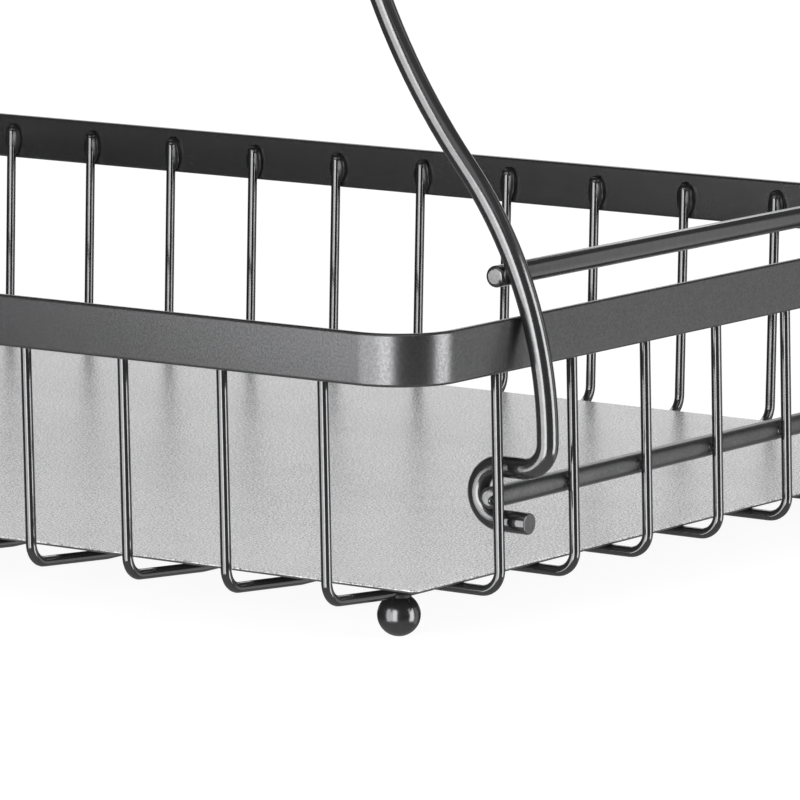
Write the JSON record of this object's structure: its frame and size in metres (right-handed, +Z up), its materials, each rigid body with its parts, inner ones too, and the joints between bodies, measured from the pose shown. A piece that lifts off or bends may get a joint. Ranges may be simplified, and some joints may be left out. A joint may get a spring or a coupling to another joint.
{
  "type": "tiered wire basket",
  "caption": "Tiered rectangular wire basket with flat strip rims, sheet trays and ball feet; bent-wire end frames hook onto the lower basket and carry the upper one.",
  "frame": {"origin": "centre of the base, on the surface that the ball feet stand on", "axes": "+X along the long sides of the baskets, +Y across them away from the viewer, +Z up"},
  "size_m": [0.3852, 0.281, 0.335],
  "materials": {
    "rim_paint": "satin dark gunmetal paint with a fine grain",
    "wire_paint": "semi-gloss dark gunmetal paint",
    "rod_paint": "semi-gloss dark gunmetal paint",
    "foot_paint": "gloss near-black paint",
    "tray_paint": "light grey satin paint with a fine sandy texture"
  },
  "bodies": {
    "lower_basket": {"lower_rim_band": "rim_paint", "lower_cross_wires": "wire_paint", "lower_long_wires": "wire_paint", "lower_tray_plate": "tray_paint", "lower_side_rod_left": "rod_paint", "lower_side_rod_right": "rod_paint", "lower_feet_left": "foot_paint", "lower_feet_right": "foot_paint"},
    "upper_basket": {"upper_rim_band": "rim_paint", "upper_cross_wires": "wire_paint", "upper_long_wires": "wire_paint", "upper_tray_plate": "tray_paint", "upper_side_rod_left": "rod_paint", "upper_side_rod_right": "rod_paint", "upper_feet_left": "foot_paint", "upper_feet_right": "foot_paint"},
    "right_frame": {"right_frame_wire": "rod_paint", "right_stretcher_rod": "rod_paint", "right_seat_pegs": "rod_paint"},
    "left_frame": {"left_frame_wire": "rod_paint", "left_stretcher_rod": "rod_paint", "left_seat_pegs": "rod_paint"}
  },
  "joints": [
    {"name": "right_frame_swing", "type": "hinge", "parent": "lower_basket", "child": "right_frame", "pos_m": [0.17672, 0, 0.0331], "axis": [0, 1, 0], "range_deg": [0, 104]},
    {"name": "left_frame_swing", "type": "hinge", "parent": "lower_basket", "child": "left_frame", "pos_m": [-0.17672, 0, 0.0331], "axis": [0, -1, 0], "range_deg": [0, 104]},
    {"name": "upper_basket_lift", "type": "slide", "parent": "lower_basket", "child": "upper_basket", "axis": [0, 0, 1], "range_m": [0, 0.145]}
  ]
}
